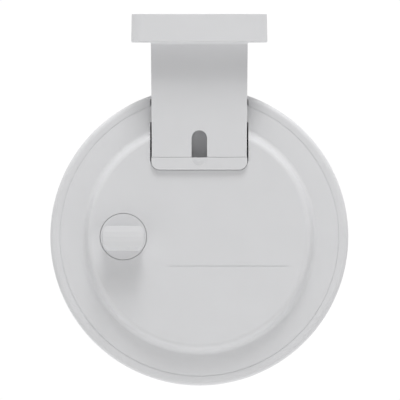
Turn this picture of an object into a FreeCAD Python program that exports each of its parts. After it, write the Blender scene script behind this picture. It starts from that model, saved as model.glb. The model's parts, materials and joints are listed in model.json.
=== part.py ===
# Nursery camera: a disc-shaped camera that hangs from a T-shaped mounting arm.
#
# Frame: +Z up, +Y towards the scene that the lens looks at, +X to the right as seen from behind.
# The origin is the mouth of the tripod thread, at the centre of the foot's top face.
# The camera's own pieces are drawn about the disc's centre, disc_drop below the origin.
import FreeCAD, Part
import math
import os
import re
import Sketcher

Vector = FreeCAD.Vector
Rotation = FreeCAD.Rotation

doc = FreeCAD.newDocument("nursery_camera")
sheet = doc.addObject("Spreadsheet::Sheet", "sizes")

# Driving dimensions, in millimetres and degrees. A name that ends in _y is a place along Y.
DIMENSIONS = {
    # disc
    "disc_radius": 55.0, "disc_drop": 82.0, "front_y": 22.0, "front_round": 7.0,
    "rim_y": -6.0, "rim_inner": 51.6, "rim_round": 1.85, "edge_round": 0.15,
    "seat_y": -4.6, "seat_inner": 49.8, "seat_thick": 2.0,
    "lip_inner": 42.0, "lip_thick": 2.0, "front_opening": 45.1,
    # rear cover: raised middle, sloping channel round it, rim in the housing's ring
    "cover_radius": 51.35, "cover_wall": 2.0, "plateau_y": -10.8, "plateau_radius": 40.9,
    "channel_y": -7.0, "channel_radius": 42.5, "cover_rim_y": -6.0, "skirt_inner": 49.6,
    "line_depth": 0.15, "line_width": 0.25,
    "plateau_round": 2.1, "channel_round": 1.7,
    # tilt hinge
    "hinge_y": -5.0, "hinge_height": 33.9, "barrel_radius": 8.3, "socket_radius": 8.45,
    "socket_half": 18.1, "cheek_thick": 3.0, "socket_wall": 1.8, "tilt_slot_half": 2.86,
    "tilt_slot_top": 39.2, "tilt_slot_floor": -4.0,
    "pin_radius": 2.0, "pin_inner_x": 8.0, "pin_fit": 0.05, "bush_radius": 3.2,
    # hinge cap
    "cap_half": 17.72, "cap_bottom": 24.6, "cap_top": 30.2, "cap_seat_y": -9.9, "cap_gap": 0.2,
    "cap_corner": 3.1, "cap_peg": 0.8, "cap_peg_x": 12.0, "cap_peg_length": 0.9, "seam_height": 29.16,
    "thumb_lip": 0.7,
    # mounting arm and foot
    "arm_rear_y": -12.0, "arm_front_y": -8.9, "arm_half_top": 17.87, "arm_half_low": 17.51,
    "arm_fillet": 1.1, "arm_room_y": -7.1,
    "rib_depth": 4.0, "rib_thick": 2.4, "rib_x": 12.0, "rib_low": 58.0,
    "foot_width": 50.2, "foot_length": 40.0, "foot_thick": 10.12, "foot_draft": 1.2,
    "foot_corner": 4.0, "tub_corner": 2.4, "foot_floor": 2.2, "lid_thick": 2.0, "pad_thick": 1.2,
    "pad_inset": 3.4, "anchor_x": 17.0, "anchor_radius": 2.2, "anchor_head": 4.4,
    "anchor_boss": 5.6, "thread_radius": 2.6, "insert_radius": 4.6, "insert_length": 7.4,
    "insert_boss": 6.4, "lid_screw_x": 19.0, "lid_screw_y": 13.5, "lid_boss": 3.0,
    "lid_screw_grip": 4.0, "anchor_head_deep": 3.0,
    # rest recess in the ring, under the arm
    "rest_outer": 53.75, "rest_depth": 4.4, "bumper_half": 14.0, "bumper_proud": 0.6,
    # dial
    "dial_x": -28.0, "dial_hole": 8.7, "dial_radius": 8.52,
    "dial_flange": 9.8, "dial_flange_y": -8.7, "dial_flange_thick": 1.2, "grip_long": 14.8,
    "grip_up": 3.9, "grip_low": -3.95, "grip_flare": 1.3, "grip_height": 9.1, "grip_crown": 0.42,
    "grip_corner": 1.8, "dial_shaft": 3.0, "dial_shaft_end": -0.6,
    # engraved line
    "slit_left": -11.6, "slit_right": 32.8, "slit_low": -10.95,
    # antenna
    "antenna_low_y": 3.0, "antenna_high_y": 11.0, "antenna_thick": 0.4, "antenna_half": 22.0,
    # boards, screws and bosses
    "boss_place": 23.7, "boss_radius": 3.2, "boss_top_y": 14.9, "screw_radius": 1.25,
    "screw_head": 2.5, "screw_head_thick": 1.6, "post_x": 33.0, "post_z": 14.5,
    "post_low_x": 12.0, "post_low_z": -34.0, "post_radius": 2.6, "board_y": 2.0,
    "board_thick": 1.6, "board_radius": 47.0, "board_top": 19.5,
    "ribbon_x": 22.0, "ribbon_wide": 4.0, "ribbon_thick": 0.3, "ribbon_high_y": 18.0,
    # front parts
    "chassis_y": 15.0, "chassis_thick": 2.0, "chassis_radius": 44.9, "lens_hole": 8.5,
    "light_ring_inner": 41.3, "light_ring_outer": 44.9, "fascia_radius": 41.1,
    "fascia_y": 19.8, "fascia_top_y": 22.2, "window_radius": 21.0, "window_step": 0.6,
    "bezel_radius": 7.4, "grille_hole": 0.65, "grille_first": 27.5, "grille_pitch": 3.0,
    "microphone_z": 31.0,
    "led_radius": 1.5, "led_circle": 14.0,
    "night_board_inner": 37.0, "night_circle": 43.1, "night_lamp": 0.9,
    # speaker
    "speaker_z": -29.4, "speaker_radius": 12.2, "speaker_cone": 9.8, "speaker_magnet": 8.0,
    "speaker_port": 5.6, "gasket_inner": 22.6, "gasket_outer": 36.4, "gasket_half": 17.5,
    "gasket_wall": 1.4,
    # button and socket
    "button_y": 5.0, "button_long": 13.0, "button_wide": 5.4, "button_gap": 0.3,
    "button_travel": 0.8, "button_thick": 1.2, "port_wide": 9.6, "port_tall": 3.9, "port_y": 5.2,
    "plug_wide": 13.6, "plug_tall": 7.6, "plug_recess": 2.0,
}

for row, (alias, value) in enumerate(DIMENSIONS.items(), start=1):
    sheet.set("A%d" % row, alias.replace("_", " "))
    sheet.set("B%d" % row, str(value))
    sheet.setAlias("B%d" % row, alias)
doc.recompute()

nodes = {}
CENTRE = "-disc_drop"
AXES = {"X": Vector(1, 0, 0), "Y": Vector(0, 1, 0), "Z": Vector(0, 0, 1)}
SIDES = (("left", "-"), ("right", ""))
BOSSES = [(x + "boss_place", z + "boss_place") for x in ("-", "") for z in ("-", "")]
POSTS = [("-post_x", "post_z"), ("post_x", "post_z"),
         ("-post_low_x", "post_low_z"), ("post_low_x", "post_low_z")]
ANCHORS = [("-anchor_x", "0"), ("anchor_x", "0")]
LID_SCREWS = [(x + "lid_screw_x", y + "lid_screw_y") for x in ("-", "") for y in ("-", "")]
CAP_PEGS = [("-cap_peg_x", "cap_bottom + 1"), ("cap_peg_x", "cap_bottom + 1")]
# how many sound holes each row has, and how far the row swings to each side, in degrees
GRILLE_ROWS = [(9, 26), (10, 25), (11, 24)]


# ---------------------------------------------------------------- helpers
def linked(expression):
    """The expression with each driving dimension's name pointed at its cell."""
    return re.sub(r"[a-z][a-z_]*", lambda word: "sizes." + word.group(0)
                  if word.group(0) in DIMENSIONS else word.group(0), str(expression))


def value_of(expression):
    """The number that an expression in driving dimensions stands for now."""
    return float(sheet.evalExpression(linked(expression)))


def bind(item, links):
    for path, expression in links.items():
        item.setExpression(path, linked(expression))


def keep(item, label):
    """Marks an object as a finished piece, written to parts/label.step."""
    item.Label = label
    nodes[label] = item
    return item


def place(item, x="0", y="0", z="0", rotation=None):
    item.Placement = FreeCAD.Placement(Vector(), rotation or Rotation())
    bind(item, {"Placement.Base.x": x, "Placement.Base.y": y, "Placement.Base.z": z})
    return item


def rod(name, radius, low, high, across="0", up=CENTRE, axis="Y"):
    """A cylinder from low to high along an axis. across and up place it on the other two."""
    item = doc.addObject("Part::Cylinder", name)
    bind(item, {"Radius": radius, "Height": "(%s) - (%s)" % (high, low)})
    if axis == "X":
        return place(item, low, across, up, Rotation(Vector(0, 1, 0), 90))
    if axis == "Y":
        return place(item, across, low, up, Rotation(Vector(1, 0, 0), -90))
    return place(item, across, up, low)


def cone(name, radius_low, radius_high, low, high, across="0", up=CENTRE):
    """A cone along Y, from low to high."""
    item = doc.addObject("Part::Cone", name)
    bind(item, {"Radius1": radius_low, "Radius2": radius_high,
                "Height": "(%s) - (%s)" % (high, low)})
    return place(item, across, low, up, Rotation(Vector(1, 0, 0), -90))


def block(name, x, y, z):
    """A box between pairs of places on each axis. z is counted from the disc's centre."""
    item = doc.addObject("Part::Box", name)
    bind(item, {"Length": "(%s) - (%s)" % (x[1], x[0]), "Width": "(%s) - (%s)" % (y[1], y[0]),
                "Height": "(%s) - (%s)" % (z[1], z[0])})
    return place(item, x[0], y[0], "(%s) - disc_drop" % z[0])


def cut(name, base, tool):
    item = doc.addObject("Part::Cut", name)
    item.Base, item.Tool = base, tool
    return item


def common(name, base, tool):
    item = doc.addObject("Part::Common", name)
    item.Base, item.Tool = base, tool
    return item


def fuse(name, pieces):
    item = doc.addObject("Part::MultiFuse", name)
    item.Shapes = pieces
    return item


def group(name, pieces):
    """Identical loose pieces that share one node."""
    item = doc.addObject("Part::Compound", name)
    item.Links = pieces
    return item


def tube(name, outer, inner, low, high, across="0", up=CENTRE, axis="Y"):
    return cut(name, rod(name + "_outer", outer, low, high, across, up, axis),
               rod(name + "_bore", inner, "(%s) - 1" % low, "(%s) + 1" % high, across, up, axis))


def new_body(name, centred=True):
    """A PartDesign body. A centred one is drawn about the disc's centre."""
    body = doc.addObject("PartDesign::Body", name)
    place(body, z=CENTRE if centred else "0")
    return body


def new_sketch(body, name, plane, offset=None):
    sketch = body.newObject("Sketcher::SketchObject", name)
    support = [item for item in body.Origin.OriginFeatures if item.Role == plane + "_Plane"][0]
    sketch.AttachmentSupport = [(support, "")]
    sketch.MapMode = "FlatFace"
    if offset is not None:
        bind(sketch, {"AttachmentOffset.Base.z": offset})
    return sketch


def fix_point(sketch, element, end, x, y):
    """Ties one end of a sketch element to a place given as two expressions."""
    for kind, axis, expression in (("DistanceX", -2, x), ("DistanceY", -1, y)):
        if value_of(expression) == 0:
            sketch.addConstraint(Sketcher.Constraint("PointOnObject", element, end, axis))
        else:
            index = sketch.addConstraint(
                Sketcher.Constraint(kind, -1, 1, element, end, value_of(expression)))
            bind(sketch, {"Constraints[%d]" % index: expression})


def draw_polygon(sketch, points):
    first = sketch.GeometryCount
    places = [Vector(value_of(x), value_of(y), 0) for x, y in points]
    for start, stop in zip(places, places[1:] + places[:1]):
        sketch.addGeometry(Part.LineSegment(start, stop))
    for index, (x, y) in enumerate(points):
        last = first + (index - 1) % len(points)
        sketch.addConstraint(Sketcher.Constraint("Coincident", last, 2, first + index, 1))
        fix_point(sketch, first + index, 1, x, y)
    return sketch


def draw_rectangle(sketch, x, y):
    return draw_polygon(sketch, [(x[0], y[0]), (x[1], y[0]), (x[1], y[1]), (x[0], y[1])])


def draw_circle(sketch, x, y, radius):
    centre = Vector(value_of(x), value_of(y), 0)
    circle = sketch.addGeometry(Part.Circle(centre, Vector(0, 0, 1), value_of(radius)))
    fix_point(sketch, circle, 3, x, y)
    index = sketch.addConstraint(Sketcher.Constraint("Radius", circle, value_of(radius)))
    bind(sketch, {"Constraints[%d]" % index: radius})
    return sketch


def extrude(body, kind, name, sketch, length, back=False, midplane=False):
    """A Pad or Pocket. back turns it against the feature's usual direction."""
    before = body.Shape.Volume if body.Tip else 0
    feature = body.newObject("PartDesign::" + kind, name)
    feature.Profile = sketch
    feature.Reversed = back
    feature.Midplane = midplane
    bind(feature, {"Length": length})
    doc.recompute()
    if abs(body.Shape.Volume - before) < 0.1:
        raise RuntimeError("%s changes nothing" % name)
    return feature


def revolve(body, name, points, kind="Revolution"):
    """Turns an outline of (y, radius) points about the body's Y axis."""
    sketch = draw_polygon(new_sketch(body, name + "_outline", "YZ"), points)
    feature = body.newObject("PartDesign::" + kind, name)
    feature.Profile = sketch
    feature.ReferenceAxis = (sketch, ["H_Axis"])
    feature.Angle = 360
    doc.recompute()
    return feature


def round_off(body, name, radius, pick):
    """Fillets the edges of the body's tip that pick(edge) chooses."""
    doc.recompute()
    base = body.Tip
    edges = ["Edge%d" % number for number, edge in enumerate(base.Shape.Edges, start=1)
             if pick(edge)]
    if not edges:
        raise RuntimeError("%s finds no edge" % name)
    feature = body.newObject("PartDesign::Fillet", name)
    feature.Base = (base, edges)
    bind(feature, {"Radius": radius})
    doc.recompute()
    return feature


def circle_at(radius, y):
    """Picks whole circles about the body's Y axis, of one radius at one place."""
    def pick(edge):
        return (isinstance(edge.Curve, Part.Circle) and abs(edge.Curve.Radius - value_of(radius)) < 0.01
                and abs(edge.Curve.Center.y - value_of(y)) < 0.01)
    return pick


def upright_at(x, z, axis="Y"):
    """Picks straight edges along an axis whose other places are +-x and z."""
    def pick(edge):
        middle = edge.CenterOfMass
        along = edge.tangentAt(edge.FirstParameter)
        other = middle.z if axis == "Y" else middle.y
        return (isinstance(edge.Curve, Part.Line) and abs(abs(along.dot(AXES[axis])) - 1) < 0.01
                and abs(abs(middle.x) - value_of(x)) < 0.3 and abs(other - value_of(z)) < 0.3)
    return pick



def polar_pattern(body, name, feature, count, span):
    """Repeats a feature about the body's Y axis over a span of degrees."""
    pattern = body.newObject("PartDesign::PolarPattern", name)
    pattern.Originals = [feature]
    axis = [item for item in body.Origin.OriginFeatures if item.Role == "Y_Axis"][0]
    pattern.Axis = (axis, [""])
    pattern.Angle = span
    pattern.Occurrences = count
    body.Tip = pattern
    doc.recompute()
    return pattern


def draw_arc_band(sketch, inner, outer, half):
    """The stretch of a ring at the top, between two circles and two upright lines."""
    side = value_of(half)
    radii = [value_of(inner), value_of(outer)]
    arcs = []
    for radius in radii:
        angle = math.asin(side / radius)
        arcs.append(sketch.addGeometry(Part.ArcOfCircle(
            Part.Circle(Vector(), Vector(0, 0, 1), radius), math.pi / 2 - angle, math.pi / 2 + angle)))
    low, high = [math.sqrt(radius ** 2 - side ** 2) for radius in radii]
    for end, x in ((1, side), (2, -side)):
        line = sketch.addGeometry(Part.LineSegment(Vector(x, low, 0), Vector(x, high, 0)))
        sketch.addConstraint(Sketcher.Constraint("Coincident", line, 1, arcs[0], end))
        sketch.addConstraint(Sketcher.Constraint("Coincident", line, 2, arcs[1], end))
        sketch.addConstraint(Sketcher.Constraint("Vertical", line))
    for arc, radius in zip(arcs, (inner, outer)):
        sketch.addConstraint(Sketcher.Constraint("Coincident", arc, 3, -1, 1))
        index = sketch.addConstraint(Sketcher.Constraint("Radius", arc, value_of(radius)))
        bind(sketch, {"Constraints[%d]" % index: radius})
    index = sketch.addConstraint(
        Sketcher.Constraint("DistanceX", arcs[1], 2, arcs[1], 1, 2 * side))
    bind(sketch, {"Constraints[%d]" % index: "2 * " + half})
    return sketch


def draw_capsule(sketch, x, y, long, wide, upright=False):
    """An outline with two half-round ends, long along the sketch's X, or its Y if upright."""
    reach = "((%s) - (%s)) / 2" % (long, wide)
    ends = [("(%s) - %s" % (x, reach), y), ("(%s) + %s" % (x, reach), y)]
    turn = 0
    if upright:
        ends = [(x, "(%s) - %s" % (y, reach)), (x, "(%s) + %s" % (y, reach))]
        turn = math.pi / 2
    radius = value_of(wide) / 2
    centres = [Vector(value_of(across), value_of(up), 0) for across, up in ends]
    side = Vector(-math.sin(turn), math.cos(turn), 0) * radius
    near, far = [
        sketch.addGeometry(Part.ArcOfCircle(
            Part.Circle(centre, Vector(0, 0, 1), radius), start, start + math.pi))
        for centre, start in zip(centres, (turn + math.pi / 2, turn - math.pi / 2))]
    back = sketch.addGeometry(Part.LineSegment(centres[1] + side, centres[0] + side))
    forth = sketch.addGeometry(Part.LineSegment(centres[0] - side, centres[1] - side))
    for first, first_end, second, second_end in (
            (near, 1, back, 2), (near, 2, forth, 1), (far, 1, forth, 2), (far, 2, back, 1)):
        sketch.addConstraint(Sketcher.Constraint("Tangent", first, first_end, second, second_end))
    fix_point(sketch, near, 3, *ends[0])
    fix_point(sketch, far, 3, *ends[1])
    index = sketch.addConstraint(Sketcher.Constraint("Radius", near, radius))
    bind(sketch, {"Constraints[%d]" % index: "(%s) / 2" % wide})
    sketch.addConstraint(Sketcher.Constraint("Equal", near, far))
    return sketch


# ---------------------------------------------------------------- shells of the camera
def make_front_housing():
    """Side wall, rounded front edge, lip for the chassis and seat for the rear cover."""
    body = new_body("front_housing_body")
    revolve(body, "housing_shell", [
        ("rim_y", "rim_inner"), ("rim_y", "disc_radius"), ("front_y", "disc_radius"),
        ("front_y", "front_opening"), ("chassis_y", "front_opening"), ("chassis_y", "lip_inner"),
        ("chassis_y - lip_thick", "lip_inner"), ("chassis_y - lip_thick", "front_opening + 2"),
        ("front_y - 3.4", "front_opening + 2"), ("front_y - 3.4", "rim_inner - 1.4"),
        ("chassis_y - lip_thick", "rim_inner"), ("seat_y + seat_thick", "rim_inner"),
        ("seat_y + seat_thick", "seat_inner"), ("seat_y", "seat_inner"), ("seat_y", "rim_inner")])
    round_off(body, "rear_edge_round", "rim_round", circle_at("disc_radius", "rim_y"))
    round_off(body, "front_edge_round", "front_round", circle_at("disc_radius", "front_y"))

    # recess in the ring under the arm, as wide as the hinge socket
    sketch = new_sketch(body, "rest_outline", "XZ", "1 - rim_y")
    draw_arc_band(sketch, "rim_inner", "rest_outer", "socket_half")
    extrude(body, "Pocket", "rest_recess", sketch, "rest_depth + 1")

    # button hole in the right side, with room for the button all round
    sketch = new_sketch(body, "button_hole_outline", "YZ", "rim_inner - 3")
    draw_capsule(sketch, "button_y", "0", "button_long + 2 * button_gap",
                 "button_wide + 2 * button_gap", upright=True)
    extrude(body, "Pocket", "button_hole", sketch, "disc_radius - rim_inner + 4", back=True)

    # power inlet in the bottom: a shallow recess for the plug's grip and the port in its floor
    sketch = new_sketch(body, "plug_recess_outline", "XY", "-disc_radius - 2")
    draw_capsule(sketch, "0", "port_y", "plug_wide", "plug_tall")
    extrude(body, "Pocket", "plug_recess_cut", sketch, "plug_recess + 2", back=True)
    sketch = new_sketch(body, "port_outline", "XY", "-disc_radius")
    draw_capsule(sketch, "0", "port_y", "port_wide", "port_tall")
    extrude(body, "Pocket", "port_cut", sketch, "disc_radius - rim_inner + 1", back=True)
    keep(body, "front_housing")


def make_rear_cover():
    """Raised middle with the hinge socket, dial hole, engraved line, screw bosses and posts."""
    body = new_body("rear_cover_body")
    # the hinge socket's outside comes first, trimmed to half the shell's wall
    reach = "(socket_radius + socket_wall)"
    sketch = draw_rectangle(new_sketch(body, "hinge_block_outline", "YZ"),
                            ("plateau_y - 1", "hinge_y + " + reach),
                            ("hinge_height - " + reach, "hinge_height + " + reach))
    extrude(body, "Pad", "hinge_block", sketch, "2 * (socket_half + cheek_thick)", midplane=True)
    revolve(body, "block_trim", [
        ("plateau_y - 8", "0"), ("plateau_y - 8", "disc_radius"), ("channel_y", "disc_radius"),
        ("cover_rim_y + 1", "cover_radius"), ("channel_y + 1", "channel_radius - 1"),
        ("plateau_y + 1", "plateau_radius - 1"), ("plateau_y + 1", "0")], kind="Groove")
    revolve(body, "cover_shell", [
        ("plateau_y", "0"), ("plateau_y", "plateau_radius"), ("channel_y", "channel_radius"),
        ("cover_rim_y", "cover_radius"), ("cover_rim_y + line_depth", "cover_radius"),
        ("cover_rim_y + line_depth", "rim_inner"), ("seat_y - 0.6", "rim_inner"),
        ("seat_y - 0.6", "skirt_inner"), ("cover_rim_y + cover_wall", "skirt_inner"),
        ("channel_y + cover_wall", "channel_radius - 1.6"),
        ("plateau_y + cover_wall", "plateau_radius - 1.6"), ("plateau_y + cover_wall", "0")])
    round_off(body, "plateau_edge", "plateau_round", circle_at("plateau_radius", "plateau_y"))
    round_off(body, "channel_foot", "channel_round", circle_at("channel_radius", "channel_y"))

    inside = "-(plateau_y + cover_wall - 0.5)"
    for name, places, radius, top, depth in (
            ("boss", BOSSES, "boss_radius", "boss_top_y", "12"),
            ("post", POSTS, "post_radius", "board_y", "8")):
        sketch = new_sketch(body, name + "_outline", "XZ", inside)
        for x, z in places:
            draw_circle(sketch, x, z, radius)
        extrude(body, "Pad", name + "_pads", sketch,
                "%s - (plateau_y + cover_wall - 0.5)" % top, back=True)
        sketch = new_sketch(body, name + "_hole_outline", "XZ", "-(%s)" % top)
        for x, z in places:
            draw_circle(sketch, x, z, "screw_radius")
        extrude(body, "Pocket", name + "_holes", sketch, depth, back=True)

    # room for the arm where it passes over the plateau, then the socket round the barrel
    sketch = draw_rectangle(new_sketch(body, "arm_room_outline", "YZ"),
                            ("plateau_y - 1", "arm_room_y"), ("hinge_height", "channel_radius"))
    extrude(body, "Pocket", "arm_room", sketch, "2 * socket_half", midplane=True)
    sketch = draw_circle(new_sketch(body, "socket_outline", "YZ"),
                         "hinge_y", "hinge_height", "socket_radius")
    extrude(body, "Pocket", "hinge_socket", sketch, "2 * socket_half", midplane=True)
    sketch = draw_circle(new_sketch(body, "bush_outline", "YZ"),
                         "hinge_y", "hinge_height", "bush_radius")
    extrude(body, "Pocket", "bush_holes", sketch, "2 * (socket_half + cheek_thick)", midplane=True)

    # seat of the hinge cap, a shade larger than the cap all round
    sketch = draw_rectangle(
        new_sketch(body, "cap_seat_outline", "XZ", "1 - plateau_y"),
        ("-cap_half - cap_gap", "cap_half + cap_gap"), ("cap_bottom - cap_gap", "cap_top"))
    extrude(body, "Pocket", "cap_seat", sketch, "cap_seat_y - plateau_y + 1")
    round_off(body, "cap_seat_corners", "cap_corner + cap_gap",
              upright_at("cap_half + cap_gap", "cap_bottom - cap_gap"))
    sketch = new_sketch(body, "peg_hole_outline", "XZ", "-cap_seat_y")
    for x, z in CAP_PEGS:
        draw_circle(sketch, x, z, "cap_peg")
    extrude(body, "Pocket", "peg_holes", sketch, "cap_peg_length")

    sketch = draw_circle(new_sketch(body, "dial_hole_outline", "XZ", "1 - plateau_y"),
                         "dial_x", "0", "dial_hole")
    extrude(body, "Pocket", "dial_opening", sketch, "cover_wall + 2")
    sketch = draw_rectangle(new_sketch(body, "slit_outline", "XZ", "1 - plateau_y"),
                            ("slit_left", "slit_right"), ("slit_low", "slit_low + line_width"))
    extrude(body, "Pocket", "engraved_line", sketch, "1 + line_depth")
    keep(body, "rear_cover")


def make_hinge_cap():
    """Flush plate below the arm, hollowed to follow the barrel, with a half-round thumb lip."""
    body = new_body("hinge_cap_body")
    sketch = draw_rectangle(new_sketch(body, "cap_outline", "XZ", "-arm_rear_y"),
                            ("-cap_half", "cap_half"), ("cap_bottom", "cap_top"))
    extrude(body, "Pad", "cap_plate", sketch, "cap_seat_y - arm_rear_y", back=True)
    round_off(body, "cap_corners", "cap_corner", upright_at("cap_half", "cap_bottom"))
    sketch = draw_circle(new_sketch(body, "cap_hollow_outline", "YZ"),
                         "hinge_y", "hinge_height", "socket_radius")
    extrude(body, "Pocket", "cap_hollow", sketch, "2 * cap_half + 2", midplane=True)
    sketch = new_sketch(body, "peg_outline", "XZ", "-cap_seat_y")
    for x, z in CAP_PEGS:
        draw_circle(sketch, x, z, "cap_peg")
    extrude(body, "Pad", "pegs", sketch, "cap_peg_length", back=True)
    round_off(body, "cap_edge_round", "cap_gap", bottom_edge_of_cap)
    # the lip is a slice of a ball, cut off flush with the cap's upper edge
    ball = "(tilt_slot_half ^ 2 + thumb_lip ^ 2) / (2 * thumb_lip)"
    sphere = doc.addObject("Part::Sphere", "thumb_ball")
    bind(sphere, {"Radius": ball})
    place(sphere, "0", "arm_rear_y - thumb_lip + " + ball, "seam_height - disc_drop")
    limit = block("thumb_limit", ("-tilt_slot_half", "tilt_slot_half"),
                  ("arm_rear_y - thumb_lip - 1", "arm_rear_y + 0.1"), ("cap_bottom", "seam_height"))
    lip = common("thumb_lip_slice", sphere, limit)
    keep(fuse("hinge_cap_with_lip", [body, lip]), "hinge_cap")


def bottom_edge_of_cap(edge):
    """Picks the cap's outer edge along its bottom and round its corners."""
    middle = edge.CenterOfMass
    return (abs(edge.BoundBox.YMin - value_of("arm_rear_y")) < 0.01
            and edge.BoundBox.YLength < 0.01 and middle.z < value_of("cap_bottom + 2.5"))


# ---------------------------------------------------------------- mounting arm and foot
def make_mount_arm():
    """Foot, flat arm, two gussets and the slotted hinge barrel, moulded in one."""
    body = new_body("mount_arm_body")
    sketch = draw_rectangle(new_sketch(body, "foot_outline", "XY", "disc_drop - foot_thick"),
                            ("-foot_width / 2", "foot_width / 2"),
                            ("-foot_length / 2", "foot_length / 2"))
    foot = extrude(body, "Pad", "foot", sketch, "foot_thick")
    bind(foot, {"TaperAngle": "-foot_draft"})
    doc.recompute()
    round_off(body, "foot_corners", "foot_corner",
              lambda edge: edge.BoundBox.ZLength > 1)
    round_off(body, "foot_edges", "edge_round", lambda edge: edge.BoundBox.ZLength < 0.01)

    sketch = draw_polygon(new_sketch(body, "arm_outline", "XZ", "-arm_rear_y"), [
        ("-arm_half_low", "hinge_height"), ("arm_half_low", "hinge_height"),
        ("arm_half_top", "disc_drop - foot_thick + 1"),
        ("-arm_half_top", "disc_drop - foot_thick + 1")])
    extrude(body, "Pad", "arm_plate", sketch, "arm_front_y - arm_rear_y", back=True)
    round_off(body, "arm_root", "arm_fillet", lambda edge: edge.BoundBox.ZLength < 0.01
              and abs(edge.CenterOfMass.z - value_of("disc_drop - foot_thick")) < 0.01
              and abs(edge.CenterOfMass.x) < 18 and edge.BoundBox.XLength < 36
              and edge.CenterOfMass.y > value_of("arm_rear_y - 1"))
    for side, sign in SIDES:
        sketch = draw_polygon(new_sketch(body, side + "_gusset_outline", "YZ", sign + "rib_x"), [
            ("arm_front_y - 0.6", "rib_low"),
            ("arm_front_y + 2 * rib_depth", "disc_drop - foot_thick + 0.6"),
            ("arm_front_y - 0.6", "disc_drop - foot_thick + 0.6")])
        extrude(body, "Pad", side + "_gusset", sketch, "rib_thick", midplane=True)

    sketch = draw_circle(new_sketch(body, "barrel_outline", "YZ"),
                         "hinge_y", "hinge_height", "barrel_radius")
    extrude(body, "Pad", "barrel", sketch, "2 * arm_half_low", midplane=True)
    sketch = draw_rectangle(new_sketch(body, "barrel_flat_outline", "YZ"),
                            ("arm_rear_y - 5", "arm_rear_y"),
                            ("hinge_height - barrel_radius", "hinge_height + barrel_radius"))
    extrude(body, "Pocket", "barrel_flat", sketch, "2 * arm_half_low + 2", midplane=True)
    slot = new_sketch(body, "slot_outline", "XZ", "1 - arm_rear_y")
    draw_rectangle(slot, ("-tilt_slot_half", "tilt_slot_half"),
                   ("hinge_height - barrel_radius - 1", "tilt_slot_top - tilt_slot_half"))
    extrude(body, "Pocket", "slot", slot, "tilt_slot_floor - arm_rear_y + 1")
    slot = draw_circle(new_sketch(body, "slot_end_outline", "XZ", "1 - arm_rear_y"),
                       "0", "tilt_slot_top - tilt_slot_half", "tilt_slot_half")
    extrude(body, "Pocket", "slot_end", slot, "tilt_slot_floor - arm_rear_y + 1")
    for side, sign in SIDES:
        sketch = draw_circle(new_sketch(body, side + "_pin_outline", "YZ", sign + "pin_inner_x"),
                             "hinge_y", "hinge_height", "pin_radius")
        extrude(body, "Pocket", side + "_pin_hole", sketch, "arm_half_low", back=sign == "")

    # hollow of the foot, with bosses for the anchor screws, the tripod thread and the lid
    sketch = draw_rectangle(new_sketch(body, "tub_outline", "XY", "disc_drop"),
                            ("-foot_width / 2 + pad_inset", "foot_width / 2 - pad_inset"),
                            ("-foot_length / 2 + pad_inset", "foot_length / 2 - pad_inset"))
    extrude(body, "Pocket", "tub", sketch, "foot_thick - foot_floor")
    round_off(body, "tub_corners", "tub_corner", upright_at(
        "foot_width / 2 - pad_inset", "foot_length / 2 - pad_inset", axis="Z"))
    sketch = new_sketch(body, "boss_outline", "XY", "disc_drop - foot_thick + foot_floor - 0.3")
    for x in ("-anchor_x", "anchor_x"):
        draw_circle(sketch, x, "0", "anchor_boss")
    draw_circle(sketch, "0", "0", "insert_boss")
    for x, y in LID_SCREWS:
        draw_circle(sketch, x, y, "lid_boss")
    extrude(body, "Pad", "foot_bosses", sketch,
            "foot_thick - foot_floor + 0.3 - pad_thick - lid_thick")
    for name, places, radius, depth in (
            ("insert", [("0", "0")], "insert_radius", "insert_length"),
            ("anchor", ANCHORS, "anchor_radius", "foot_thick"),
            ("lid_screw", LID_SCREWS, "screw_radius", "pad_thick + lid_thick + lid_screw_grip")):
        sketch = new_sketch(body, name + "_hole_outline", "XY", "disc_drop")
        for x, y in places:
            draw_circle(sketch, x, y, radius)
        extrude(body, "Pocket", name + "_holes", sketch, depth)
    sketch = new_sketch(body, "counterbore_outline", "XY", "disc_drop - foot_thick")
    for x, y in ANCHORS:
        draw_circle(sketch, x, y, "anchor_head")
    extrude(body, "Pocket", "counterbores", sketch, "anchor_head_deep", back=True)
    keep(body, "mount_arm")


def make_foot_covers():
    """Plate and soft pad that close the foot's top, with the screw holes through both."""
    for label, thick, top, gap, holes in (
            ("foot_lid", "lid_thick", "disc_drop - pad_thick", "0.15",
             [("0", "0", "insert_radius")] + [(x, y, "screw_radius") for x, y in LID_SCREWS]),
            ("foot_pad", "pad_thick", "disc_drop", "0.3", [("0", "0", "insert_radius + 0.4")])):
        body = new_body(label + "_body")
        half_x = "(foot_width / 2 - pad_inset - %s)" % gap
        half_y = "(foot_length / 2 - pad_inset - %s)" % gap
        sketch = draw_rectangle(new_sketch(body, label + "_outline", "XY", top),
                                ("-" + half_x, half_x), ("-" + half_y, half_y))
        extrude(body, "Pad", label + "_sheet", sketch, thick, back=True)
        round_off(body, label + "_corners", "tub_corner", upright_at(half_x, half_y, "Z"))
        sketch = new_sketch(body, label + "_hole_outline", "XY", top)
        for x, y in ANCHORS:
            draw_circle(sketch, x, y, "anchor_radius")
        for x, y, radius in holes:
            draw_circle(sketch, x, y, radius)
        extrude(body, "Pocket", label + "_holes", sketch, thick)
        keep(body, label)


def make_foot_hardware():
    """Brass tripod insert and the lid's screws."""
    keep(tube("tripod_insert_tube", "insert_radius", "thread_radius", "-insert_length", "0",
              "0", "0", axis="Z"), "tripod_insert")
    screws = [rod("lid_shank_%d" % number, "screw_radius", "-pad_thick - lid_thick - lid_screw_grip",
                  "-pad_thick", x, y, axis="Z") for number, (x, y) in enumerate(LID_SCREWS)]
    keep(group("lid_screw_set", screws), "lid_screws")


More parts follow.
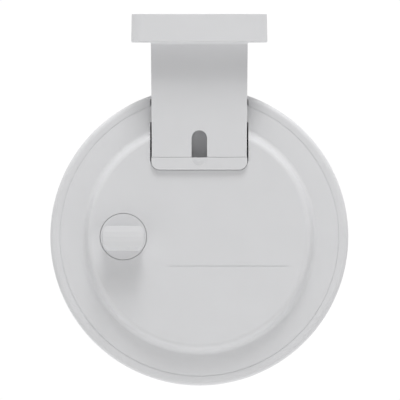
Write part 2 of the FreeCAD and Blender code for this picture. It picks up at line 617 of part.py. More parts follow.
def make_hinge_hardware():
    """Steel pins pressed into the arm's barrel, turning in friction bushes in the cover."""
    up = "hinge_height - disc_drop"
    for side, sign in SIDES:
        spans = [("pin_inner_x", "socket_half + cheek_thick"),
                 ("socket_half", "socket_half + cheek_thick")]
        if side == "left":
            spans = [("-(%s)" % high, "-(%s)" % low) for low, high in spans]
        pin, bush = spans
        keep(rod("pin_" + side, "pin_radius", pin[0], pin[1], "hinge_y", up, axis="X"),
             "hinge_pin_" + side)
        keep(tube("bush_" + side, "bush_radius", "pin_radius + pin_fit", bush[0], bush[1],
                  "hinge_y", up, axis="X"), "hinge_bush_" + side)


def make_rest_bumper():
    """Soft strip in the ring's recess, under the arm, that follows the ring."""
    ring = tube("bumper_ring", "rest_outer - 0.3", "rim_inner + 0.3",
                "rim_y - bumper_proud", "rim_y + rest_depth")
    limit = block("bumper_limit", ("-bumper_half", "bumper_half"),
                  ("rim_y - bumper_proud", "rim_y + rest_depth"), ("rim_inner - 5", "rest_outer"))
    keep(common("bumper_strip", ring, limit), "rest_bumper")


# ---------------------------------------------------------------- dial and button
def make_dial():
    """Turned base with a flange behind the cover, and a bar to grip."""
    body = new_body("dial_body")
    bind(body, {"Placement.Base.x": "dial_x"})
    flange_end = "dial_flange_y + dial_flange_thick"
    # the bar's side view: upright above, flared to the base below, a crowned face
    grip_y = "plateau_y - grip_height"
    sketch = draw_polygon(new_sketch(body, "grip_outline", "YZ"), [
        ("plateau_y", "grip_up"), ("plateau_y", "grip_low - grip_flare"),
        (grip_y + " + grip_crown", "grip_low"), (grip_y + " + grip_crown / 5", "grip_low / 2.2"),
        (grip_y, "0"), (grip_y + " + grip_crown / 5", "grip_up / 2.2"),
        (grip_y + " + grip_crown", "grip_up")])
    extrude(body, "Pad", "grip", sketch, "grip_long", midplane=True)
    round_off(body, "grip_corners", "grip_corner", lambda edge: edge.BoundBox.YLength > 5)
    revolve(body, "dial_base", [
        ("plateau_y", "0"), ("plateau_y", "dial_radius"), ("dial_flange_y", "dial_radius"),
        ("dial_flange_y", "dial_flange"), (flange_end, "dial_flange"), (flange_end, "0")])
    round_off(body, "dial_rim", "edge_round", circle_at("dial_radius", "plateau_y"))
    keep(body, "dial_knob")
    keep(rod("shaft_rod", "dial_shaft", flange_end, "dial_shaft_end", "dial_x"), "dial_shaft")
    case = fuse("encoder_case", [
        block("encoder_block", ("dial_x - 6", "dial_x + 6"), ("board_y - 5.5", "board_y"), ("-6", "6")),
        rod("encoder_neck", "dial_shaft + 1.5", "board_y - 7.5", "board_y - 5", "dial_x")])
    bore = rod("encoder_bore", "dial_shaft + pin_fit", "board_y - 8", "dial_shaft_end + 0.4", "dial_x")
    keep(cut("encoder_body", case, bore), "dial_encoder")


def make_button():
    """Side button: a capsule flush with the side wall, with a flange inside it."""
    body = new_body("button_body")
    stem = new_sketch(body, "stem_outline", "YZ", "rim_inner - 1.6")
    draw_capsule(stem, "button_y", "0", "button_long", "button_wide", upright=True)
    extrude(body, "Pad", "stem", stem, "disc_radius - rim_inner + 2.4")
    flange = new_sketch(body, "flange_outline", "YZ", "rim_inner - 2.2")
    draw_capsule(flange, "button_y", "0", "button_long + 2 * button_thick",
                 "button_wide + 2 * button_thick", upright=True)
    extrude(body, "Pad", "flange", flange, "button_thick")
    revolve(body, "button_face", [
        ("button_y - button_wide", "disc_radius"), ("button_y + button_wide", "disc_radius"),
        ("button_y + button_wide", "disc_radius + 4"), ("button_y - button_wide", "disc_radius + 4")],
        kind="Groove")
    keep(body, "power_button")
    keep(block("switch_block", ("board_radius - 5", "rim_inner - 2.6 - button_travel"),
               ("board_y + board_thick", "button_y + 1.4"), ("-3", "3")), "button_switch")


# ---------------------------------------------------------------- front of the camera
def make_front_chassis():
    """Disc behind the fascia that carries the front boards and clamps the housing."""
    plate = rod("chassis_disc", "chassis_radius", "chassis_y", "chassis_y + chassis_thick")
    low, high = "chassis_y - 1", "chassis_y + chassis_thick + 1"
    holes = [rod("chassis_lens_hole", "lens_hole", low, high),
             rod("chassis_speaker_hole", "speaker_port", low, high, up="speaker_z - disc_drop"),
             block("chassis_ribbon_slot", ("ribbon_x - 0.6", "ribbon_x + 0.8"),
                   (low, high), ("-4.5", "4.5"))]
    for number, (x, z) in enumerate(BOSSES):
        holes.append(rod("chassis_screw_hole_%d" % number, "screw_radius", low, high, x,
                         "%s - disc_drop" % z))
    keep(cut("chassis_plate", plate, fuse("chassis_holes", holes)), "front_chassis")


def make_fascia():
    """Front face: a shallow dish with the window's opening and an arc of sound holes."""
    body = new_body("fascia_body")
    revolve(body, "fascia_shell", [
        ("fascia_y", "window_radius + 0.3"), ("fascia_top_y - window_step", "window_radius + 0.3"),
        ("fascia_top_y - window_step", "window_radius + 2"), ("fascia_top_y", "window_radius + 6"),
        ("fascia_top_y", "fascia_radius"), ("chassis_y + chassis_thick + 1", "fascia_radius"),
        ("chassis_y + chassis_thick + 1", "fascia_radius - 2"), ("fascia_y", "fascia_radius - 2")])
    round_off(body, "fascia_edge", "edge_round * 2", circle_at("fascia_radius", "fascia_top_y"))
    for row, (holes, swing) in enumerate(GRILLE_ROWS):
        sketch = new_sketch(body, "grille_outline_%d" % row, "XZ", "-fascia_top_y")
        radius = "(grille_first + grille_pitch * %d)" % row
        draw_circle(sketch, "-%s * sin(%d)" % (radius, swing), "-%s * cos(%d)" % (radius, swing),
                    "grille_hole")
        hole = extrude(body, "Pocket", "grille_hole_%d" % row, sketch,
                       "fascia_top_y - fascia_y + 1", back=True)
        polar_pattern(body, "grille_row_%d" % row, hole, holes, 2 * swing)
    sketch = draw_circle(new_sketch(body, "sound_inlet_outline", "XZ", "-fascia_top_y"),
                         "0", "microphone_z", "grille_hole")
    extrude(body, "Pocket", "sound_inlet", sketch, "fascia_top_y - fascia_y + 1", back=True)
    keep(body, "fascia")


def make_turned_front():
    """Window, light ring, lens bezel and lens barrel, all turned about the lens axis."""
    outlines = {
        "window": [
            ("fascia_y - 0.6", "bezel_radius"), ("fascia_top_y - window_step - 0.2", "bezel_radius"),
            ("fascia_top_y - window_step - 0.2", "window_radius"), ("fascia_y", "window_radius"),
            ("fascia_y", "window_radius + 1.2"), ("fascia_y - 0.6", "window_radius + 1.2")],
        "light_ring": [
            ("fascia_y - 0.8", "light_ring_inner"), ("fascia_top_y - 0.6", "light_ring_inner"),
            ("fascia_top_y", "light_ring_inner + 1"), ("fascia_top_y", "light_ring_outer - 0.8"),
            ("fascia_top_y - 0.8", "light_ring_outer"),
            ("chassis_y + chassis_thick + 1", "light_ring_outer"),
            ("chassis_y + chassis_thick + 1", "light_ring_outer - 0.7"),
            ("fascia_y - 0.8", "light_ring_outer - 0.7")],
        "lens_bezel": [
            ("chassis_y + chassis_thick", "bezel_radius - 1.4"), ("fascia_y", "bezel_radius - 2.4"),
            ("fascia_top_y + 0.6", "bezel_radius - 1.2"), ("fascia_top_y + 0.6", "bezel_radius - 0.4"),
            ("fascia_top_y + 0.2", "bezel_radius"), ("chassis_y + chassis_thick", "bezel_radius")],
        "lens_barrel": [
            ("8", "2.6"), ("8", "5"), ("fascia_y - 1", "5"), ("fascia_y - 1", "4.4"),
            ("fascia_y - 2.8", "4.4"), ("fascia_y - 2.8", "3.6"), ("14", "2.6")],
        "lens_front_element": [
            ("fascia_y - 2.8", "0"), ("fascia_y - 2.8", "4.4"), ("fascia_y - 1", "4.4"),
            ("fascia_y - 0.2", "3"), ("fascia_y + 0.2", "0")],
        "lens_rear_element": [
            ("8.6", "0"), ("9", "2.6"), ("11", "2.6"), ("11.6", "0")],
    }
    for label, outline in outlines.items():
        body = new_body(label + "_body")
        revolve(body, label + "_shape", outline)
        keep(body, label)


def make_lens_support():
    """Square holder on the main board, with the filter and the sensor inside it."""
    top = "board_y + board_thick"
    case = block("holder_block", ("-9", "9"), (top, "12"), ("-9", "9"))
    hollow = fuse("holder_hollow", [
        rod("holder_thread", "5", "7.4", "13"),
        block("holder_room", ("-6.5", "6.5"), ("board_y", "7.4"), ("-6.5", "6.5"))])
    keep(cut("holder_shape", case, hollow), "lens_holder")
    keep(block("sensor_block", ("-4.5", "4.5"), (top, "board_y + 3"), ("-4", "4")), "image_sensor")
    keep(block("filter_block", ("-6.4", "6.4"), ("6.9", "7.4"), ("-6.4", "6.4")), "ir_filter")


def make_front_lights():
    """Infra-red board and the night light's board, with their lamps."""
    deck = "chassis_y + chassis_thick"
    holes = [rod("ir_centre_hole", "bezel_radius", deck + " - 1", deck + " + 2"),
             block("ir_ribbon_notch", ("ribbon_x - 0.6", "ribbon_x + 0.8"),
                   (deck + " - 1", deck + " + 2"), ("-4.5", "4.5"))]
    disc = rod("ir_disc", "window_radius - 1", deck, deck + " + 1")
    keep(cut("ir_board_shape", disc, fuse("ir_holes", holes)), "ir_board")
    keep(tube("night_light_ring", "chassis_radius", "night_board_inner", deck, deck + " + 1"),
         "night_light_board")
    ir_lamps, ring_lamps = [], []
    for number in range(8):
        turn = "%g" % (22.5 + 45 * number)
        across, up = "led_circle * cos(%s)" % turn, "led_circle * sin(%s)" % turn
        ir_lamps.append(rod("ir_lamp_%d" % number, "led_radius", deck + " + 1", deck + " + 2.1",
                            across, up + " - disc_drop"))
    for number in range(16):
        turn = "%g" % (22.5 * number)
        across, up = "night_circle * cos(%s)" % turn, "night_circle * sin(%s)" % turn
        ring_lamps.append(rod("ring_lamp_%d" % number, "night_lamp", deck + " + 1", deck + " + 1.8",
                              across, up + " - disc_drop"))
    keep(group("ir_lamps", ir_lamps), "ir_leds")
    keep(group("ring_lamps", ring_lamps), "night_light_leds")
    for label, z in (("light_sensor", "led_circle"), ("status_led", "-led_circle")):
        keep(block(label + "_block", ("-1.2", "1.2"), (deck + " + 1", deck + " + 2"),
                   (z + " - 1.2", z + " + 1.2")), label)
    keep(block("microphone_block", ("-2", "2"), (deck, deck + " + 1.1"),
               ("microphone_z - 1.5", "microphone_z + 1.5")), "microphone")


def make_speaker():
    """Driver behind the chassis, facing the sound holes, with its foam gasket."""
    up = "speaker_z - disc_drop"
    frame = cone("speaker_cup", "speaker_magnet", "speaker_radius", "10", "chassis_y", up=up)
    bowl = cone("speaker_bowl", "speaker_magnet - 3", "speaker_cone", "11", "chassis_y", up=up)
    keep(cut("speaker_shell", frame, bowl), "speaker_basket")
    outer = cone("cone_outer", "speaker_magnet - 3", "speaker_cone", "11", "chassis_y", up=up)
    inner = cone("cone_inner", "speaker_magnet - 3.5", "speaker_cone", "11.5", "chassis_y + 0.5", up=up)
    keep(cut("cone_shell", outer, inner), "speaker_cone")
    keep(rod("magnet_rod", "speaker_magnet", "5.4", "10", up=up), "speaker_magnet")
    sectors = []
    for name, inset in (("gasket_outside", "0"), ("gasket_inside", "gasket_wall")):
        low, high = "chassis_y + chassis_thick", "fascia_y"
        ring = tube(name + "_ring", "gasket_outer - " + inset, "gasket_inner + " + inset, low, high)
        limit = block(name + "_limit", ("%s - gasket_half" % inset, "gasket_half - %s" % inset),
                      (low, high), ("-gasket_outer", "-gasket_inner / 2"))
        sectors.append(common(name, ring, limit))
    keep(cut("gasket_frame", *sectors), "speaker_gasket")


# ---------------------------------------------------------------- inside of the camera
def make_boards():
    """Main board and what is on it."""
    low, high = "board_y", "board_y + board_thick"
    disc = rod("board_disc", "board_radius", low, high)
    limit = block("board_limit", ("-board_radius", "board_radius"), (low, high),
                  ("-board_radius", "board_top"))
    holes = [rod("board_hole_%d" % number, "boss_radius + 0.4", "board_y - 1", high + " + 1", x,
                 "%s - disc_drop" % z) for number, (x, z) in enumerate(BOSSES[::2])]
    holes += [rod("board_post_hole_%d" % number, "screw_radius", "board_y - 1", high + " + 1", x,
                  "%s - disc_drop" % z) for number, (x, z) in enumerate(POSTS)]
    keep(cut("board_shape", common("board_blank", disc, limit), fuse("board_holes", holes)),
         "main_board")
    keep(block("can_block", ("12", "30"), (high, high + " + 2.2"), ("-16", "-2")), "shield_can")
    keep(block("spreader_block", ("2", "34"), ("board_y - 1.4", "board_y"), ("-18", "6")),
         "heat_spreader")
    port = block("socket_block", ("-4.5", "4.5"), (high, high + " + 3.2"), ("-51.4", "-44"))
    mouth = block("socket_mouth", ("-4.1", "4.1"), (high + " + 0.4", high + " + 2.8"), ("-52", "-46"))
    keep(cut("socket_shape", port, mouth), "power_socket")
    keep(block("tongue_block", ("-3.4", "3.4"), (high + " + 1.3", high + " + 1.9"), ("-50.6", "-46")),
         "power_socket_tongue")
    keep(group("connector_blocks", [
        block("ribbon_connector", ("23", "28"), (high, high + " + 1.3"), ("-1.8", "4.6")),
        block("speaker_connector", ("-26", "-20"), (high, high + " + 3"), ("-16", "-12")),
        block("light_connector", ("-38", "-32"), (high, high + " + 3"), ("-4", "0"))]),
        "board_connectors")
    ribbon_up = ("0", "ribbon_wide")
    ribbon_low = high + " + 1.3"
    ribbon = [block("ribbon_foot", ("ribbon_x", "ribbon_x + 5.5"),
                    (ribbon_low, ribbon_low + " + ribbon_thick"), ribbon_up),
              block("ribbon_rise", ("ribbon_x", "ribbon_x + ribbon_thick"),
                    (ribbon_low, "ribbon_high_y + ribbon_thick"), ribbon_up),
              block("ribbon_head", ("ribbon_x - 5", "ribbon_x + ribbon_thick"),
                    ("ribbon_high_y", "ribbon_high_y + ribbon_thick"), ribbon_up)]
    keep(fuse("ribbon_strip", ribbon), "board_ribbon")


def make_fasteners_and_seals():
    """Screws, seal and antenna."""
    top, screws = "chassis_y + chassis_thick", []
    for number, (x, z) in enumerate(BOSSES):
        up = "%s - disc_drop" % z
        screws.append(fuse("chassis_screw_%d" % number, [
            rod("chassis_shank_%d" % number, "screw_radius", "boss_top_y - 10", top + " + 0.5", x, up),
            rod("chassis_head_%d" % number, "screw_head", top, top + " + screw_head_thick", x, up)]))
    keep(group("chassis_screw_set", screws), "chassis_screws")
    top, screws = "board_y + board_thick", []
    for number, (x, z) in enumerate(POSTS):
        up = "%s - disc_drop" % z
        screws.append(fuse("board_screw_%d" % number, [
            rod("board_shank_%d" % number, "screw_radius", "board_y - 6", top + " + 0.5", x, up),
            rod("board_head_%d" % number, "screw_head", top, top + " + screw_head_thick", x, up)]))
    keep(group("board_screw_set", screws), "board_screws")
    keep(tube("seal_tube", "rim_inner", "skirt_inner + 0.4", "seat_y - 0.6", "seat_y"), "cover_seal")
    span = ("antenna_low_y", "antenna_high_y")
    strip = tube("antenna_tube", "rim_inner", "rim_inner - antenna_thick", *span)
    limit = block("antenna_limit", ("-antenna_half", "antenna_half"), span, ("30", "rim_inner"))
    keep(common("antenna_strip", strip, limit), "antenna")


def main():
    for make in (make_mount_arm, make_foot_covers, make_foot_hardware, make_hinge_hardware,
                 make_front_housing, make_rear_cover, make_hinge_cap, make_rest_bumper, make_dial,
                 make_button, make_front_chassis, make_fascia, make_turned_front,
                 make_lens_support, make_front_lights, make_speaker, make_boards,
                 make_fasteners_and_seals):
        make()
    doc.recompute()
    failed = [item.Label for item in doc.Objects
              if "Invalid" in item.State or "Error" in item.State]
    failed += [label for label, item in nodes.items()
               if item.Shape.isNull() or not item.Shape.isValid()]
    if failed:
        raise RuntimeError("failed pieces: " + ", ".join(failed))
    os.makedirs("parts", exist_ok=True)
    for label, item in nodes.items():
        item.Shape.exportStep("parts/%s.step" % label)
        print("%-22s %9.1f mm3  %d solid(s)" % (label, item.Shape.Volume, len(item.Shape.Solids)))
    print(len(nodes), "nodes")


main()
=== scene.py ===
"""Looks of a nursery monitor camera that hangs from a T-shaped mounting arm. Lengths are in metres."""

import json
import math

import bmesh
import bpy
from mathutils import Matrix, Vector


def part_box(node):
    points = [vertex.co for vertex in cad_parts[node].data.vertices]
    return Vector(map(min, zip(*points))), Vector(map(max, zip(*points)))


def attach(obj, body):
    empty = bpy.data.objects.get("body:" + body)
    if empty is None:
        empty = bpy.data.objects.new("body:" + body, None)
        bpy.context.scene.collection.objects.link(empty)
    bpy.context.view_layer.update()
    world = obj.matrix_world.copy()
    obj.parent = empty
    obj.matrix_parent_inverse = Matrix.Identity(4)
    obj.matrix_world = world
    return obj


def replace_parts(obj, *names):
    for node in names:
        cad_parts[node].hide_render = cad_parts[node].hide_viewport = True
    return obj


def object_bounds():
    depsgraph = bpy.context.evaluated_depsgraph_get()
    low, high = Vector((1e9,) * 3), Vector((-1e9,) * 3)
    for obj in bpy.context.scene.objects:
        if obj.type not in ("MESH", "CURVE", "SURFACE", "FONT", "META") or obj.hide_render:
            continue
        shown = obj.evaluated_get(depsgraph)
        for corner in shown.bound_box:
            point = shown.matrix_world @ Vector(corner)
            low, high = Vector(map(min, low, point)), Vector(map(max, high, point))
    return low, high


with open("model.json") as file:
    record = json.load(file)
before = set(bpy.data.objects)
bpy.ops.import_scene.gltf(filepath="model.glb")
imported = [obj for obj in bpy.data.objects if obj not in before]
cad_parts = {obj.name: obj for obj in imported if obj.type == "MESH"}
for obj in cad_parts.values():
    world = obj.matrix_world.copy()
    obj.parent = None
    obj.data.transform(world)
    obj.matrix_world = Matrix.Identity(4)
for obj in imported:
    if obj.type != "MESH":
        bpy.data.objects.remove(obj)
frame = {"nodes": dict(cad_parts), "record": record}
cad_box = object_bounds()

MM = 0.001
NODES = frame["nodes"]
WHITE = (0.715, 0.717, 0.728)
WAVE_PITCH = math.pi / 10  # the pitch of a wave texture whose scale is 1


def middle(node):
    """The centre of a CAD node's box."""
    low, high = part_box(node)
    return (low + high) / 2


DISC = middle("front_housing")


# Materials ---------------------------------------------------------------------------------------


class Finish:
    """A material with one Principled shader, and helpers that add procedural detail to it."""

    def __init__(self, name, colour, roughness, metallic=0.0, **sockets):
        self.material = bpy.data.materials.new(name)
        self.material.use_nodes = True
        self.tree = self.material.node_tree
        self.shader = self.tree.nodes["Principled BSDF"]
        self.colour = (*colour[:3], 1.0)
        self.roughness = roughness
        self.shader.inputs["Base Color"].default_value = self.colour
        self.shader.inputs["Roughness"].default_value = roughness
        self.shader.inputs["Metallic"].default_value = metallic
        for socket, value in sockets.items():
            self.shader.inputs[socket.replace("_", " ")].default_value = value
        self.place = self.add("ShaderNodeTexCoord").outputs["Object"]

    def add(self, kind, inputs=None, **settings):
        """Adds a node. An input is a number, a colour or another node's output."""
        node = self.tree.nodes.new(kind)
        for name, value in settings.items():
            setattr(node, name, value)
        for key, value in (inputs or {}).items():
            if isinstance(value, bpy.types.NodeSocket):
                self.tree.links.new(value, node.inputs[key])
            else:
                node.inputs[key].default_value = value
        return node

    def stretched(self, stretch):
        """The object's coordinates, stretched along each axis."""
        return self.add("ShaderNodeMapping", {"Vector": self.place, "Scale": stretch}).outputs["Vector"]

    def noise(self, size, detail=2.0, stretch=(1.0, 1.0, 1.0)):
        """Noise whose patches are about this size."""
        where = self.place if stretch == (1.0, 1.0, 1.0) else self.stretched(stretch)
        inputs = {"Vector": where, "Scale": 1.0 / size, "Detail": detail}
        return self.add("ShaderNodeTexNoise", inputs).outputs["Fac"]

    def ramp(self, value, low, high, low_value=0.0, high_value=1.0):
        """Maps low to high onto another pair of values, clamped."""
        inputs = {"Value": value, 1: low, 2: high, 3: low_value, 4: high_value}
        return self.add("ShaderNodeMapRange", inputs).outputs["Result"]

    def tint(self, amount, colour):
        """Blends the colour so far with another one, by an amount from 0 to 1."""
        socket = self.shader.inputs["Base Color"]
        before = socket.links[0].from_socket if socket.links else self.colour
        mix = self.add("ShaderNodeMix", {0: amount, 6: before, 7: (*colour[:3], 1.0)}, data_type="RGBA")
        self.tree.links.new(mix.outputs[2], socket)

    def vary_roughness(self, amount, spread):
        """Spreads the roughness about its value by a map from 0 to 1."""
        rough = self.ramp(amount, 0.0, 1.0, self.roughness - spread, self.roughness + spread)
        self.tree.links.new(rough, self.shader.inputs["Roughness"])

    def bump(self, height, depth):
        """Raises the surface by a map from 0 to 1. Bumps add up."""
        socket = self.shader.inputs["Normal"]
        inputs = {"Height": height, "Distance": depth, "Strength": 1.0}
        if socket.links:
            inputs["Normal"] = socket.links[0].from_socket
        self.tree.links.new(self.add("ShaderNodeBump", inputs).outputs["Normal"], socket)

    def edges(self, radius):
        """A map that is 0 on open surfaces and rises to 1 along edges."""
        rounded = self.add("ShaderNodeBevel", {"Radius": radius}, samples=4).outputs["Normal"]
        plain = self.add("ShaderNodeNewGeometry").outputs["Normal"]
        inputs = {0: rounded, 1: plain}
        alike = self.add("ShaderNodeVectorMath", inputs, operation="DOT_PRODUCT").outputs["Value"]
        return self.ramp(alike, 1.0, 0.86)

    def waves(self, axis, pitch):
        """Straight ribs, counted along an axis."""
        inputs = {"Vector": self.place, "Scale": WAVE_PITCH / pitch}
        return self.add("ShaderNodeTexWave", inputs, bands_direction=axis).outputs["Fac"]

    def rings(self, centre, pitch):
        """Circles about an axis along Y, as turned or moulded rings."""
        moved = self.add(
            "ShaderNodeVectorMath",
            {0: self.place, 1: (-centre[0], 0.0, -centre[2])},
            operation="ADD",
        ).outputs["Vector"]
        inputs = {"Vector": moved, "Scale": WAVE_PITCH / pitch}
        return self.add(
            "ShaderNodeTexWave", inputs, wave_type="RINGS", rings_direction="Y"
        ).outputs["Fac"]


def moulded(name, colour, roughness=0.46, grain=0.30 * MM, depth=0.010 * MM):
    """Moulded plastic with a fine spark-eroded grain, a faint cloudiness and lighter edges."""
    finish = Finish(name, colour, roughness)
    cloudy = finish.ramp(finish.noise(14 * MM, detail=3.0), 0.35, 0.65)
    finish.tint(cloudy, [c * 0.985 for c in colour[:3]])
    finish.tint(finish.edges(0.5 * MM), [min(1.0, c * 1.03) for c in colour[:3]])
    finish.vary_roughness(finish.noise(3 * MM, detail=4.0), 0.05)
    finish.bump(finish.noise(22 * MM, detail=1.0), 0.06 * MM)
    finish.bump(finish.noise(grain, detail=3.0), depth)
    return finish


def rubbery(name, colour, roughness=0.78):
    """Silicone or rubber: dull, with a fine tooth and a little dust."""
    finish = Finish(name, colour, roughness, Sheen_Weight=0.15, Sheen_Roughness=0.5)
    dust = finish.ramp(finish.noise(1.2 * MM, detail=6.0), 0.58, 0.80, 0.0, 0.30)
    finish.tint(dust, [min(1.0, c * 1.35 + 0.03) for c in colour[:3]])
    finish.vary_roughness(finish.noise(2 * MM), 0.06)
    finish.bump(finish.noise(0.22 * MM, detail=4.0), 0.012 * MM)
    return finish


def brushed(name, colour, roughness=0.32, stretch=(1.0, 14.0, 1.0)):
    """Metal with fine drawn lines, small darker stains and lighter edges."""
    finish = Finish(name, colour, roughness, metallic=1.0)
    lines = finish.noise(1.4 * MM, detail=5.0, stretch=stretch)
    stain = finish.ramp(finish.noise(4 * MM, detail=4.0), 0.50, 0.75, 0.0, 0.35)
    finish.tint(stain, [c * 0.80 for c in colour[:3]])
    finish.tint(finish.edges(0.3 * MM), [min(1.0, c * 1.15) for c in colour[:3]])
    finish.vary_roughness(lines, 0.10)
    finish.bump(lines, 0.006 * MM)
    return finish


def turned(name, colour, centre, roughness=0.28, pitch=0.18 * MM):
    """Metal with lathe rings about the Y axis."""
    finish = Finish(name, colour, roughness, metallic=1.0)
    rings = finish.rings(centre, pitch)
    finish.tint(finish.ramp(finish.noise(2 * MM), 0.4, 0.7, 0.0, 0.25), [c * 0.78 for c in colour[:3]])
    finish.vary_roughness(finish.noise(0.8 * MM, detail=4.0), 0.08)
    finish.bump(rings, 0.008 * MM)
    return finish


def glossy(name, colour, roughness=0.07):
    """Polished dark plastic with faint swirls and dust."""
    finish = Finish(name, colour, roughness, Coat_Weight=0.4, Coat_Roughness=0.03)
    swirls = finish.noise(1.8 * MM, detail=5.0, stretch=(1.0, 1.0, 6.0))
    finish.vary_roughness(finish.ramp(swirls, 0.35, 0.75), 0.03)
    dust = finish.ramp(finish.noise(0.5 * MM, detail=2.0), 0.76, 0.80, 0.0, 0.25)
    finish.tint(dust, (0.25, 0.25, 0.26))
    finish.bump(finish.noise(9 * MM, detail=1.0), 0.010 * MM)
    return finish


def glass(name, colour, film=0.0):
    """Clear coated glass."""
    finish = Finish(
        name, colour, 0.02, Transmission_Weight=1.0, IOR=1.52, Thin_Film_Thickness=film, Thin_Film_IOR=1.9
    )
    finish.vary_roughness(finish.ramp(finish.noise(1 * MM, detail=3.0), 0.6, 0.8), 0.015)
    return finish


def frosted(name, colour):
    """Milky light-spreading plastic."""
    finish = Finish(name, colour, 0.42, Subsurface_Weight=0.35, Subsurface_Scale=0.002)
    finish.shader.inputs["Subsurface Radius"].default_value = (1.0, 0.95, 0.85)
    finish.tint(finish.ramp(finish.noise(5 * MM), 0.35, 0.65, 0.0, 0.5), [c * 0.97 for c in colour[:3]])
    finish.vary_roughness(finish.noise(1 * MM, detail=3.0), 0.05)
    finish.bump(finish.noise(0.25 * MM, detail=2.0), 0.010 * MM)
    return finish


def lamp_lens(name, colour):
    """The small clear dome of a lamp, with its chip showing as a brighter patch."""
    finish = Finish(name, colour, 0.12, Coat_Weight=0.6, Coat_Roughness=0.05)
    patch = finish.ramp(finish.noise(0.9 * MM, detail=1.0), 0.45, 0.60)
    finish.tint(patch, [min(1.0, c * 1.25 + 0.02) for c in colour[:3]])
    finish.vary_roughness(finish.noise(0.6 * MM), 0.04)
    finish.bump(finish.noise(0.8 * MM), 0.010 * MM)
    return finish


def circuit(name, colour):
    """Solder mask over copper tracks, with bare pads between them."""
    finish = Finish(name, colour, 0.34, Coat_Weight=0.3, Coat_Roughness=0.2)
    track_size = 2.2 * MM
    pad_size = 4.5 * MM
    flat = finish.stretched((1.0, 0.0, 1.0))
    grid = finish.add("ShaderNodeTexVoronoi", {"Vector": flat, "Scale": 1 / track_size})
    grid.distance = "CHEBYCHEV"
    tracks = finish.ramp(grid.outputs["Distance"], 0.30, 0.36)
    finish.tint(tracks, [min(1.0, c * 1.7 + 0.01) for c in colour[:3]])
    pads = finish.add("ShaderNodeTexVoronoi", {"Vector": flat, "Scale": 1 / pad_size})
    finish.tint(finish.ramp(pads.outputs["Distance"], 0.12, 0.09), (0.78, 0.62, 0.32))
    finish.vary_roughness(finish.noise(1 * MM), 0.06)
    finish.bump(tracks, 0.02 * MM)
    return finish


def pressed_paper(name, colour):
    """Fibrous speaker paper."""
    finish = Finish(name, colour, 0.85, Sheen_Weight=0.2)
    fibres = finish.noise(0.5 * MM, detail=8.0, stretch=(1.0, 1.0, 2.5))
    finish.tint(finish.ramp(fibres, 0.5, 0.8), [c * 1.6 for c in colour[:3]])
    finish.vary_roughness(finish.noise(1 * MM), 0.06)
    finish.bump(fibres, 0.04 * MM)
    return finish


def open_foam(name, colour):
    """Foam with small round cells, their hollows kept dark and their rims lightened as painted shade."""
    finish = Finish(name, colour, 0.9)
    cells = finish.add("ShaderNodeTexVoronoi", {"Vector": finish.place, "Scale": 1 / (0.5 * MM)})
    depth = finish.ramp(cells.outputs["Distance"], 0.0, 0.6)
    # Painted shade: the cell hollows keep the dark base colour and the cell rims are lightened.
    finish.tint(depth, [c * 1.7 for c in colour[:3]])
    finish.bump(depth, 0.15 * MM)
    return finish


def film(name, colour):
    """Thin amber film with copper strips under it."""
    finish = Finish(name, colour, 0.25, Coat_Weight=0.7, Coat_Roughness=0.1)
    strips = finish.waves("X", 0.5 * MM)
    finish.tint(finish.ramp(strips, 0.45, 0.55), [c * 0.65 for c in colour[:3]])
    finish.vary_roughness(finish.noise(2 * MM), 0.05)
    finish.bump(strips, 0.01 * MM)
    return finish


SHELLS = ("arm_shell", "housing_shell", "rear_shell", "cap_shell", "dial_shell", "button_shell")


def make_finishes():
    """Every material slot of the record, by name."""
    made = {slot: moulded(slot, WHITE) for slot in SHELLS}
    made["fascia_shell"] = moulded("fascia_shell", (0.60, 0.60, 0.61), roughness=0.42)
    made["foot_lid"] = moulded("foot_lid", (0.42, 0.42, 0.44), roughness=0.55)
    made["acetal"] = moulded("acetal", (0.78, 0.77, 0.73), roughness=0.30, depth=0.004 * MM)
    made["black_plastic"] = moulded("black_plastic", (0.022, 0.022, 0.024), roughness=0.50)
    made["chip"] = moulded("chip", (0.020, 0.020, 0.022), roughness=0.38, grain=0.15 * MM)
    made["connector_plastic"] = moulded("connector_plastic", (0.74, 0.71, 0.62), roughness=0.45)
    made["foot_pad"] = rubbery("foot_pad", (0.30, 0.30, 0.32))
    made["foot_pad"].bump(made["foot_pad"].waves("X", 2.4 * MM), 0.25 * MM)
    made["soft_rubber"] = rubbery("soft_rubber", (0.075, 0.075, 0.082))
    made["screw_steel"] = brushed("screw_steel", (0.55, 0.56, 0.58))
    # Painted shade: the hinge pin is coloured near black so that the hinge gap it shows through reads
    # dark.
    made["pin_steel"] = brushed("pin_steel", (0.035, 0.035, 0.038), roughness=0.50)
    made["can_metal"] = brushed("can_metal", (0.66, 0.66, 0.68), roughness=0.30)
    made["spreader_metal"] = brushed("spreader_metal", (0.74, 0.75, 0.77), roughness=0.36)
    made["black_metal"] = moulded("black_metal", (0.020, 0.020, 0.021), roughness=0.40)
    made["brass"] = turned("brass", (0.80, 0.60, 0.28), Vector((0, 0, 0)))
    made["bezel"] = moulded("bezel", (0.030, 0.030, 0.033), roughness=0.30, depth=0.004 * MM)
    made["bezel"].bump(made["bezel"].rings(middle("lens_bezel"), 0.45 * MM), 0.05 * MM)
    made["dark_window"] = glossy("dark_window", (0.006, 0.006, 0.008))
    made["light_diffuser"] = frosted("light_diffuser", (0.74, 0.74, 0.72))
    made["lens_glass"] = glass("lens_glass", (0.86, 0.90, 1.0), film=430.0)
    made["filter_glass"] = glass("filter_glass", (0.55, 0.80, 0.78), film=300.0)
    made["ir_lamp"] = lamp_lens("ir_lamp", (0.05, 0.02, 0.025))
    made["white_lamp"] = lamp_lens("white_lamp", (0.85, 0.80, 0.45))
    made["circuit_board"] = circuit("circuit_board", (0.012, 0.075, 0.035))
    made["speaker_paper"] = pressed_paper("speaker_paper", (0.045, 0.045, 0.050))
    made["foam"] = open_foam("foam", (0.030, 0.030, 0.033))
    made["ribbon"] = film("ribbon", (0.62, 0.30, 0.06))
    made["antenna_film"] = film("antenna_film", (0.48, 0.22, 0.07))
    return made


